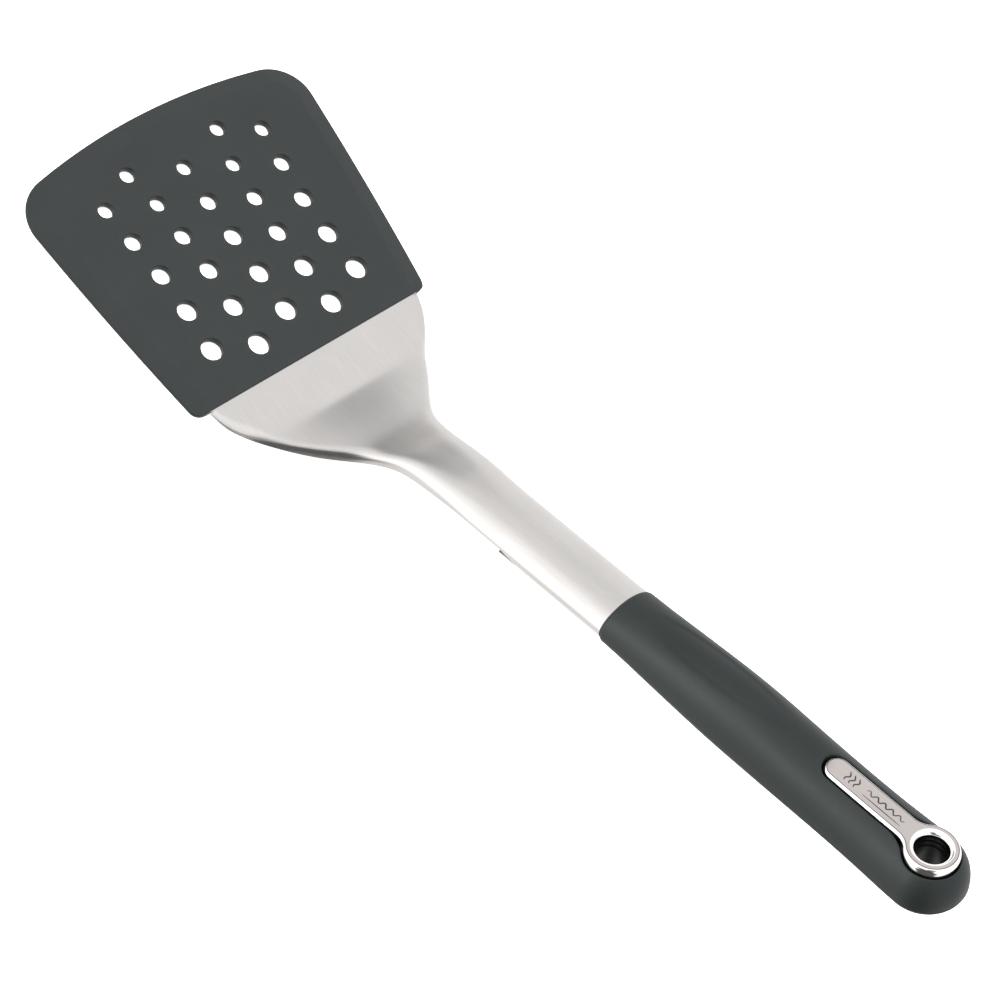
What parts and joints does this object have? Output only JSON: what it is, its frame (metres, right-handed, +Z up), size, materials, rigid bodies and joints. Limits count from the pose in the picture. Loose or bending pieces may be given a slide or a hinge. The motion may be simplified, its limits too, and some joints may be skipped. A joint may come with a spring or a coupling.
{
  "type": "grill spatula",
  "caption": "Grill spatula with a flexible perforated blade moulded over steel, an oval steel tube shank, a soft hand grip and a hang ring.",
  "frame": {"origin": "on the blade's flat underside, on the centreline, midway between the two centreline holes nearest the blade's middle", "axes": "+X from the blade to the hang ring, +Y across the blade, +Z up from the cooking surface"},
  "size_m": [0.3467, 0.1134, 0.1253],
  "materials": {
    "blade_rubber": "matte",
    "steel": "brushed",
    "plug": "matte",
    "core_plastic": "gloss",
    "grip_rubber": "matte",
    "badge_metal": "satin",
    "bond": "matte"
  },
  "bodies": {
    "root": {"blade_overmould": "blade_rubber", "shank_top_shell": "steel", "shank_under_shell": "steel", "tube_plug": "plug", "handle_core": "core_plastic", "grip_cover": "grip_rubber", "hang_badge": "badge_metal", "badge_adhesive": "bond"}
  },
  "joints": []
}
